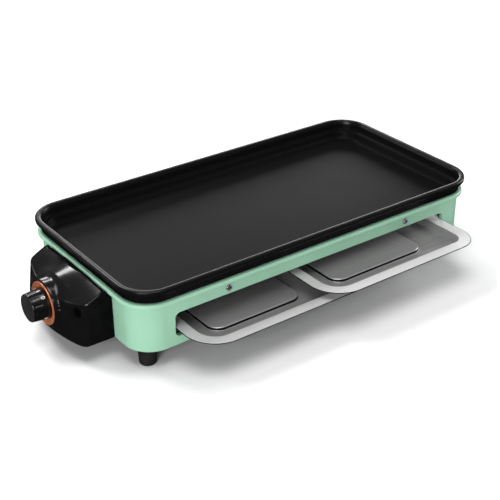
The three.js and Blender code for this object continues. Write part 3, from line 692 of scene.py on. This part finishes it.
# ---------------------------------------------------------------- control box
box_low, box_high = span("control_box")
BOX = {
    "half": 63.0,
    "corner_x": -269.0,
    "bulge": 11.0,
    "corner_radius": 8.0,
    "face_lean": 0.11,
    "side_draft": 0.00048,
    "bottom": box_low.z,
    "ridge_z": box_high.z,
    "ridge_x": -256.2,
    "ridge_drop": 3.2,
    "crease_z": 61.2,
    "crease_rise": 13.0,
    "step_x": -239.0,
    "step_z": 74.1,
    "back_x": box_high.x,
    "wall": 2.4,
    "round": {"ridge": 18.0, "face": 1.3, "back": 4.0, "bottom": 1.4, "side": 1.2, "hood": 1.0},
}
DIAL = {"z": middle("dial_ring").z, "hood_radius": 26.0, "hood_x": box_low.x, "hood_end": -252.0}
HOOD_BLEND = {"radius": 22.0, "start": 3.0, "run": 14.0, "least": 0.12}
RING_RADIUS = span("dial_ring")[1].y
RECESS_GAP = 0.3
RECESS_X = span("dial_ring")[1].x + RECESS_GAP
BOX_HOLES = {"neck": 5.6, "gland": 6.5, "screw_end": -230.0}
WELL = {"radius": 5.5, "boss": 7.4, "seat": -244.0, "boss_end": -241.0}
SKIN = {"edge": 1.2, "centre_x": -250.0, "centre_z": 50.0, "reach": 70.0, "halvings": 40}


def rounded_max(a, b, radius):
    """The larger of two signed distances, with the edge between them rounded."""
    inner = np.minimum(np.maximum(a, b), -radius)
    return inner + np.hypot(np.maximum(a + radius, 0), np.maximum(b + radius, 0))


def filleted_min(a, b, radius):
    """The smaller of two signed distances, with the hollow between them filled."""
    share = np.maximum(radius - np.abs(a - b), 0) / radius
    return np.minimum(a, b) - share * share * radius / 4


def box_distance(x, y, z):
    """Signed distance, about, to the box's casing with its dial hood; negative inside."""
    half = BOX["half"]
    corner = BOX["corner_radius"]
    past = np.clip(np.abs(y) - (half - corner), 0, corner)
    rounding = corner - np.sqrt(np.maximum(corner**2 - past**2, 0))
    share = np.minimum(np.abs(y) / half, 1)
    face_foot = BOX["corner_x"] - BOX["bulge"] * (1 - share**2) + 0.7 * rounding
    face_x = face_foot + BOX["face_lean"] * (z - BOX["bottom"])
    face = face_x - x
    crease_z = BOX["crease_z"] + BOX["crease_rise"] * share**2.2
    crease_x = face_foot + BOX["face_lean"] * (crease_z - BOX["bottom"])
    run = BOX["ridge_x"] - crease_x
    rise = BOX["ridge_z"] - BOX["ridge_drop"] - crease_z
    length = np.hypot(run, rise)
    slope = (-(x - crease_x) * rise + (z - crease_z) * run) / length
    top = z - BOX["ridge_z"]
    back = np.minimum(x - BOX["step_x"], np.maximum(x - BOX["back_x"], z - BOX["step_z"]))
    rounds = BOX["round"]
    casing = rounded_max(slope, top, rounds["ridge"])
    casing = rounded_max(casing, face, rounds["face"])
    casing = rounded_max(casing, back, rounds["back"])
    casing = rounded_max(casing, BOX["bottom"] - z, rounds["bottom"])
    casing = rounded_max(casing, np.abs(y) - half, rounds["side"])
    width = y * (1 - BOX["side_draft"] * (z - BOX["bottom"]))
    barrel = np.hypot(width, z - DIAL["z"]) - DIAL["hood_radius"]
    hood = rounded_max(barrel, DIAL["hood_x"] - x, rounds["hood"])
    hood = np.maximum(hood, x - DIAL["hood_end"])
    behind = (x - DIAL["hood_x"] - HOOD_BLEND["start"]) / HOOD_BLEND["run"]
    behind_face = np.clip(behind, HOOD_BLEND["least"], 1)
    return filleted_min(casing, hood, HOOD_BLEND["radius"] * behind_face)


def box_skin(name, offset, rows, columns, finish):
    """The casing's skin, or one set inside it, found along rays from an inner line."""
    half = BOX["half"] - offset
    edge = SKIN["edge"]
    arc = [half - edge + edge * math.sin(math.radians(a)) for a in (30, 60, 80, 90)]
    inner = list(np.linspace(edge - half, half - edge, rows))
    stations = [-y for y in reversed(arc)] + inner + arc
    turns = np.linspace(0, 2 * np.pi, columns, endpoint=False)
    y, angle = np.meshgrid(stations, turns, indexing="ij")
    near = np.zeros_like(y)
    far = np.full_like(y, SKIN["reach"])
    for _ in range(SKIN["halvings"]):
        half_way = (near + far) / 2
        x = SKIN["centre_x"] + half_way * np.cos(angle)
        z = SKIN["centre_z"] + half_way * np.sin(angle)
        outside = box_distance(x, y, z) > -offset
        far = np.where(outside, half_way, far)
        near = np.where(outside, near, half_way)
    x = SKIN["centre_x"] + near * np.cos(angle)
    z = SKIN["centre_z"] + near * np.sin(angle)
    width = y * (1 - BOX["side_draft"] * (z - BOX["bottom"]))
    rings = [list(zip(x[i], width[i], z[i])) for i in range(len(stations))]
    return loft(name, rings, finish)


def control_box():
    """The casing, hollowed, with its dial recess, screw wells and the gland's hole."""
    box = box_skin("control_box_casing", 0, 140, 300, BOX_PLASTIC)
    hollow = box_skin("hollow", BOX["wall"], 40, 96, None)
    front = DIAL["hood_x"] - 10  # in front of every face of the box
    wells = [middle("box_screw_front"), middle("box_screw_rear")]
    bosses = [cylinder(WELL["boss"], (front, p.y, p.z), (WELL["boss_end"], p.y, p.z)) for p in wells]
    cut(hollow, bosses)
    shaft = middle("thermostat_shaft")
    gland = middle("cord_gland")
    neck_end = RECESS_X + 2 * BOX["wall"]
    gland_from = (gland.x, BOX["half"] - 10, gland.z)
    gland_to = (gland.x, BOX["half"] + 5, gland.z)
    tools = [
        hollow,
        cylinder(RING_RADIUS + RECESS_GAP, (front, 0, shaft.z), (RECESS_X, 0, shaft.z), 128),
        cylinder(BOX_HOLES["neck"], (front, 0, shaft.z), (neck_end, 0, shaft.z)),
        cylinder(BOX_HOLES["gland"], gland_from, gland_to),
    ]
    for place in wells:
        start = (front, place.y, place.z)
        seat = (WELL["seat"], place.y, place.z)
        tools.append(cylinder(WELL["radius"], start, seat))
        end = (BOX_HOLES["screw_end"], place.y, place.z)
        tools.append(cylinder(SCREW_HOLE, start, end, BORE_SEGMENTS))
    cut(box, tools)
    return install(box, "base", "box_plastic", "control_box")


RING_BORE = 17.7
RING_DISH = 19.0  # the radius where the ring's dished face begins


def dial_ring():
    """The dished copper ring round the knob, with a thin raised edge."""
    high = span("dial_ring")[1]
    outer = high.y
    profile = fillet(
        [
            (RING_BORE, 0, 0.2),
            (outer, 0, 0.3),
            (outer, 3.1, 0.25),
            (outer - 0.8, 3.3, 0.3),
            (outer - 1.3, 2.6, 0.3),
            (RING_DISH, 1.3, 0.3),
            (RING_BORE, 1.2, 0.2),
        ],
        closed=True,
    )
    place = (high.x, 0, middle("dial_ring").z)
    ring_piece = turned("dial_ring_copper", profile, place, (-1, 0, 0), COPPER, 160, closed=True)
    return install(ring_piece, "base", "copper_ring", "dial_ring")


# ---------------------------------------------------------------- knob
knob_low, knob_high = span("knob")
KNOB_AXIS_Z = middle("knob").z
KNOB_LENGTH = knob_high.x - knob_low.x
KNOB_SKIRT = (knob_high.y - knob_low.y) / 2
KNOB = {
    "segments": 288,
    "taper": 1.4,
    "taper_start": 3.2,
    "taper_end": 2.0,
    "flange": 0.5,
    "flange_height": 3.0,
    "bore": 3.35,
    "bore_depth": 13.0,
}
GROOVES = {"count": 12, "half": 1.1, "depth": 0.8, "start": 1.6, "end": 11.5, "fade": 0.7}
MARKS = {"count": 5, "spacing": 67.5, "first": 38.0, "size": 6.4, "raised": 0.05, "from_back": 5.6}
MARK_LIFT = 0.03


def knob_radius(height):
    """The knob's plain radius at a height from its back."""
    run = KNOB_LENGTH - KNOB["taper_start"] - KNOB["taper_end"]
    return KNOB_SKIRT - KNOB["taper"] * min(max((height - KNOB["taper_start"]) / run, 0), 1)


def knob():
    """A tapered knob with short grooves behind its front edge and a matt face."""
    face = KNOB_SKIRT - KNOB["taper"]
    heights = [0.0, 0.25, 0.6, 2.4, 2.7, 3.2, 4.0, 6.0, 7.0]
    heights += [KNOB_LENGTH - GROOVES["end"] + 0.35 * k for k in range(29)]
    heights += [KNOB_LENGTH - 1.3, KNOB_LENGTH - 1.1]
    back_round = {0.0: 0.5, 0.25: 0.15}
    rings = []
    for height in heights:
        flange = KNOB["flange"] if height < KNOB["flange_height"] else 0
        rings.append(knob_ring(height, knob_radius(height) + flange - back_round.get(height, 0)))
    for inset, back in ((0.1, 0.75), (0.45, 0.3), (1.0, 0.06), (1.5, 0.0), (2.2, 0.25), (4.0, 0.3)):
        rings.append(knob_ring(KNOB_LENGTH - back, face - inset))
    body = loft("knob_moulding", rings, KNOB_PLASTIC)
    body.data.materials.append(KNOB_FACE)
    front = ORIGIN.x + (knob_low.x + 0.5) * MM
    for polygon in body.data.polygons:
        if polygon.center.x < front and abs(polygon.normal.x) > 0.8:
            polygon.material_index = 1
    mouth = (knob_high.x + 1, 0, KNOB_AXIS_Z)
    end = (knob_high.x - KNOB["bore_depth"], 0, KNOB_AXIS_Z)
    cut(body, [cylinder(KNOB["bore"], mouth, end, 32)])
    return install(body, "knob", "knob_plastic", "knob")


def knob_ring(height, radius):
    """One ring of the knob, dented where the grooves run."""
    depth_in = KNOB_LENGTH - height
    room = min(depth_in - GROOVES["start"], GROOVES["end"] - depth_in)
    along = min(max(room / GROOVES["fade"], 0), 1)
    pitch = 2 * math.pi / GROOVES["count"]
    points = []
    for k in range(KNOB["segments"]):
        angle = 2 * math.pi * k / KNOB["segments"]
        off = (angle + pitch / 2) % pitch - pitch / 2
        across = min(abs(off) * radius / GROOVES["half"], 1)
        r = radius - GROOVES["depth"] * along * math.cos(across * math.pi / 2) ** 0.6
        points.append((knob_high.x - height, r * math.sin(angle), KNOB_AXIS_Z + r * math.cos(angle)))
    return points


def dial_numerals():
    """Plain numerals 0 to 4 round the knob's skirt, as thin raised paint."""
    points = []
    faces = []
    for number in range(MARKS["count"]):
        data = bpy.data.curves.new("numeral", "FONT")
        data.body = str(number)
        data.size = MARKS["size"]
        data.extrude = MARKS["raised"]
        data.align_x = "CENTER"
        data.align_y = "CENTER"
        text = bpy.data.objects.new("numeral", data)
        bpy.context.scene.collection.objects.link(text)
        bpy.context.view_layer.update()
        mesh = text.evaluated_get(bpy.context.evaluated_depsgraph_get()).to_mesh()
        turn = math.radians(MARKS["first"] - MARKS["spacing"] * number)
        first = len(points)
        for vertex in mesh.vertices:
            height = MARKS["from_back"] - vertex.co.y
            r = knob_radius(height) + MARK_LIFT + vertex.co.z
            angle = turn - vertex.co.x / KNOB_SKIRT
            x = knob_high.x - height
            points.append((x, -r * math.sin(angle), KNOB_AXIS_Z + r * math.cos(angle)))
        faces += [tuple(first + v for v in polygon.vertices) for polygon in mesh.polygons]
        bpy.data.objects.remove(text)
    paint = make("knob_numerals", points, faces, MARK_PAINT)
    return install(paint, "knob", "knob_plastic")


# ---------------------------------------------------------------- feet, screws and gland
FOOT = {"sole": 8.6, "heel": 9.4, "heel_height": 1.2, "screw_seat": 8.0}


def foot(node):
    """A round rubber foot, a little narrower at the sole, bored from above for its screw."""
    low, high = span(node)
    centre = (low + high) / 2
    top = (high.x - low.x) / 2
    profile = fillet(
        [
            (3, 0, 0),
            (FOOT["sole"], 0, 0.6),
            (FOOT["heel"], FOOT["heel_height"], 0.8),
            (top, high.z, 0.6),
            (SCREW_HOLE, high.z, 0.2),
            (SCREW_HOLE, FOOT["screw_seat"], 0),
        ]
    )
    piece = turned(node + "_moulding", profile, (centre.x, centre.y, 0), (0, 0, 1), RUBBER)
    return install(piece, "base", "rubber", node)


SCREW = {
    "gap": 0.3,
    "shank": 1.95,
    "length": 8.0,
    "rise": 2.3,
    "rim": 0.5,
    "crown": 0.35,
    "cross": (20, 110),
}


def cross_blade(seat, side, turn):
    """One tapered blade of a screw's cross recess."""
    along = Vector((math.cos(math.radians(turn)), 0, math.sin(math.radians(turn))))
    across = Vector((-along.z, 0, along.x))
    rings = []
    for depth, reach, half in ((0.7, 0.9, 0.3), (SCREW["rise"] + 1, 2.5, 0.55)):
        place = seat + Vector((0, side * depth, 0))
        corners = ((-reach, -half), (reach, -half), (reach, half), (-reach, half))
        rings.append([tuple(place + along * a + across * b) for a, b in corners])
    return loft("cutter", rings, None)


def wall_screw(node):
    """A pan-head screw with a tapered cross recess, its head against the wall."""
    low, high = span(node)
    centre = (low + high) / 2
    side = math.copysign(1, centre.y)
    seat = Vector((centre.x, side * (wall_y + SCREW["gap"]), centre.z))
    head = (high.x - low.x) / 2
    shank, rise, rim, crown = (SCREW[key] for key in ("shank", "rise", "rim", "crown"))
    profile = [(shank, -SCREW["length"]), (shank, 0), (head, 0)]
    for k in range(9):
        angle = math.radians(10 * k)
        radius = crown + (head - crown) * math.cos(angle)
        profile.append((radius, rim + (rise - rim) * math.sin(angle)))
    piece = turned(node + "_head", profile, seat, (0, side, 0), SCREW_STEEL, 48)
    cut(piece, [cross_blade(seat, side, turn) for turn in SCREW["cross"]])
    return install(piece, "base", "screw_steel", node)


GLAND = {"bore": 3.8, "neck": 6.2, "seat": 5.6, "tip": 5.6}


def cord_gland():
    """The rubber gland in the box's rear end, which the supply cord would leave by."""
    low, high = span("cord_gland")
    centre = (low + high) / 2
    length = high.y - low.y
    flange = (high.x - low.x) / 2
    bore, neck, seat = GLAND["bore"], GLAND["neck"], GLAND["seat"]
    profile = fillet(
        [
            (bore, 0, 0.3),
            (neck, 0, 0.4),
            (neck, seat, 0.3),
            (flange, seat, 0.5),
            (flange, seat + 2.0, 0.7),
            (neck, seat + 2.8, 0.6),
            (GLAND["tip"], length, 0.8),
            (bore, length, 0.5),
        ],
        closed=True,
    )
    place = (centre.x, low.y, centre.z)
    piece = turned("cord_gland_moulding", profile, place, (0, 1, 0), RUBBER, closed=True)
    return install(piece, "base", "rubber", "cord_gland")


# ---------------------------------------------------------------- heating element
ELEMENT = {"radius": 3.3, "drop_x": -210.0, "left_x": -193.0, "bend": 13.0}
BEND_STEPS = 10


def rounded_route(corners):
    """A route through (point, radius) corners, each rounded by an arc."""
    route = [corners[0][0]]
    for i in range(1, len(corners) - 1):
        here, radius = corners[i]
        before = (corners[i - 1][0] - here).normalized()
        after = (corners[i + 1][0] - here).normalized()
        half = before.angle(after) / 2
        centre = here + (before + after).normalized() * radius / math.sin(half)
        first = here + before * radius / math.tan(half) - centre
        last = here + after * radius / math.tan(half) - centre
        route += [centre + first.slerp(last, k / BEND_STEPS) for k in range(BEND_STEPS + 1)]
    route.append(corners[-1][0])
    return route


def swept(name, route, radius, finish, sides=20):
    """A round bar along a route of points."""
    side = Vector((0, 0, 1))
    angles = [2 * math.pi * k / sides for k in range(sides)]
    rings = []
    for i, here in enumerate(route):
        ahead = route[min(i + 1, len(route) - 1)] - route[max(i - 1, 0)]
        ahead.normalize()
        side = (side - ahead * side.dot(ahead)).normalized()
        other = ahead.cross(side)
        spokes = [side * math.cos(a) + other * math.sin(a) for a in angles]
        rings.append([tuple(here + spoke * radius) for spoke in spokes])
    return loft(name, rings, finish)


def heating_element():
    """A hairpin of four runs whose two ends drop and come out through the left wall."""
    low, high = span("heating_element")
    radius = ELEMENT["radius"]
    run_z = high.z - radius
    outer = high.y - radius
    inner = middle("element_clip_left_rear").y
    lead = middle("terminal_pin_rear")
    right = high.x - radius
    wide = (outer - inner) / 2
    corners = []
    for side in (1, -1):
        half = [
            (Vector((low.x, side * lead.y, lead.z)), 0),
            (Vector((ELEMENT["drop_x"], side * lead.y, lead.z)), ELEMENT["bend"]),
            (Vector((ELEMENT["drop_x"], side * outer, run_z)), ELEMENT["bend"]),
            (Vector((right, side * outer, run_z)), wide),
            (Vector((right, side * inner, run_z)), wide),
            (Vector((ELEMENT["left_x"], side * inner, run_z)), inner),
        ]
        corners += half if side > 0 else half[::-1]
    piece = swept("heating_element_tube", rounded_route(corners), radius, ELEMENT_STEEL)
    return install(piece, "base", "element_steel", "heating_element")


# ---------------------------------------------------------------- stage, light and camera
FLOOR_REACH = 40
PAPER = {"shade": 0.86, "roughness": 0.9}


def floor():
    """A plain pale floor under the feet, left out of mirror images."""
    corners = [(x * FLOOR_REACH, y * FLOOR_REACH, 0) for x, y in ((-1, -1), (1, -1), (1, 1), (-1, 1))]
    mesh = bpy.data.meshes.new("floor")
    mesh.from_pydata(corners, [], [(0, 1, 2, 3)])
    obj = bpy.data.objects.new("floor", mesh)
    bpy.context.scene.collection.objects.link(obj)
    finish = bpy.data.materials.new("floor_paper")
    finish.use_nodes = True
    shader = finish.node_tree.nodes["Principled BSDF"]
    shader.inputs["Base Color"].default_value = (*[PAPER["shade"]] * 3, 1)
    shader.inputs["Roughness"].default_value = PAPER["roughness"]
    mesh.materials.append(finish)
    obj.visible_glossy = False


def area_light(name, place, target, size, power):
    """A rectangular light that faces a target."""
    data = bpy.data.lights.new(name, "AREA")
    data.shape = "RECTANGLE"
    data.size, data.size_y = size
    data.energy = power
    light = bpy.data.objects.new(name, data)
    light.location = place
    light.rotation_euler = (Vector(target) - Vector(place)).to_track_quat("-Z", "Y").to_euler()
    bpy.context.scene.collection.objects.link(light)
    return light


LIGHTS = {
    "overhead_box": {"place": (-0.35, -0.45, 2.4), "size": (1.6, 1.6), "power": 36},
    "left_box": {"place": (-1.7, -1.25, 0.6), "size": (0.9, 1.0), "power": 25},
    "right_box": {"place": (2.0, -0.3, 0.7), "size": (1.0, 1.2), "power": 22},
    "back_card": {"place": (1.2, 1.85, 0.55), "size": (1.6, 0.75), "power": 19},
    "upper_card": {"place": (0.33, 1.72, 1.6), "size": (0.6, 0.5), "power": 14},
    "rear_left_card": {"place": (-1.5, 1.75, 0.45), "size": (0.6, 0.4), "power": 3},
    "rear_key": {"place": (-0.7, 1.3, 1.9), "size": (0.8, 0.8), "power": 34},
}
UNMIRRORED = "rear_key"  # lights and casts shadows, but leaves no highlight
WORLD_STRENGTH = 0.17
GROUND_STRENGTH = 0.04
HORIZON = (-0.05, 0.12)  # the fade from ground to sky, as heights of a unit direction
LIGHT_AIM_Z = 0.05


def studio():
    """Plain soft boxes round the object, in metres from its middle, under a pale sky."""
    world = bpy.data.worlds.new("studio")
    world.use_nodes = True
    nodes = world.node_tree.nodes
    links = world.node_tree.links
    background = nodes["Background"]
    background.inputs["Color"].default_value = (1, 1, 1, 1)
    direction = nodes.new("ShaderNodeTexCoord")
    split = nodes.new("ShaderNodeSeparateXYZ")
    fade = nodes.new("ShaderNodeMapRange")
    fade.inputs["From Min"].default_value = HORIZON[0]
    fade.inputs["From Max"].default_value = HORIZON[1]
    fade.inputs["To Min"].default_value = GROUND_STRENGTH
    fade.inputs["To Max"].default_value = WORLD_STRENGTH
    links.new(direction.outputs["Generated"], split.inputs["Vector"])
    links.new(split.outputs["Z"], fade.inputs["Value"])
    links.new(fade.outputs["Result"], background.inputs["Strength"])
    bpy.context.scene.world = world
    bpy.context.scene.view_settings.view_transform = "Standard"
    centre = ORIGIN + Vector((0, 0, LIGHT_AIM_Z))
    for name, light in LIGHTS.items():
        place = centre + Vector(light["place"])
        lamp = area_light(name, place, centre, light["size"], light["power"])
        lamp.visible_glossy = name != UNMIRRORED


CAMERA = {"azimuth": -37.404, "elevation": 29.213, "distance": 1.32836, "roll": 0.587}
CAMERA_AIM_Z = 0.0197
LENS = 80.21
SENSOR = 36
SHIFT = (-0.01486, 0.00156)


def camera():
    """The photo's view: a long lens from the front left, a little rolled."""
    azimuth = math.radians(CAMERA["azimuth"])
    elevation = math.radians(CAMERA["elevation"])
    roll = math.radians(CAMERA["roll"])
    flat = math.cos(elevation)
    back = Vector((math.sin(azimuth) * flat, -math.cos(azimuth) * flat, math.sin(elevation)))
    right = Vector((math.cos(azimuth), math.sin(azimuth), 0))
    up = back.cross(right)
    across = right * math.cos(roll) + up * math.sin(roll)
    upward = up * math.cos(roll) - right * math.sin(roll)
    data = bpy.data.cameras.new("camera")
    data.lens = LENS
    data.sensor_width = SENSOR
    data.shift_x, data.shift_y = SHIFT
    obj = bpy.data.objects.new("camera", data)
    turn = Matrix((across, upward, back)).transposed().to_4x4()
    aim = ORIGIN + Vector((0, 0, CAMERA_AIM_Z))
    obj.matrix_world = Matrix.Translation(aim + back * CAMERA["distance"]) @ turn
    bpy.context.scene.collection.objects.link(obj)
    bpy.context.scene.camera = obj


camera()
floor()
studio()

housing()
slot_hem()
griddle_pan()
tray("left_tray")
tray("right_tray")
control_box()
dial_ring()
knob()
dial_numerals()
heating_element()
cord_gland()
for end in ENDS:
    foot(f"foot_{end}")
    wall_screw(f"housing_screw_{end}")

SLOT_FINISH = {
    "mint_enamel": MINT,
    "non_stick": NON_STICK,
    "stainless": TRAY_STEEL,
    "zinc_steel": ZINC,
    "screw_steel": SCREW_STEEL,
    "element_steel": ELEMENT_STEEL,
    "box_plastic": BOX_PLASTIC,
    "knob_plastic": KNOB_PLASTIC,
    "copper_ring": COPPER,
    "rubber": RUBBER,
    "ceramic": CERAMIC,
    "lead_red": LEAD_RED,
    "lead_blue": LEAD_BLUE,
    "lead_green": LEAD_GREEN,
}
CAD_SHARP = 32
ZINC_BEVEL = 0.25
for row in frame["record"]["subparts"]:
    node = frame["nodes"][row["node"]]
    node.data.materials.clear()
    node.data.materials.append(SLOT_FINISH[row["material_slot"]])
    if not node.hide_render:
        smooth(node.data, CAD_SHARP)
        if row["material_slot"] == "zinc_steel":
            soften(node, ZINC_BEVEL)
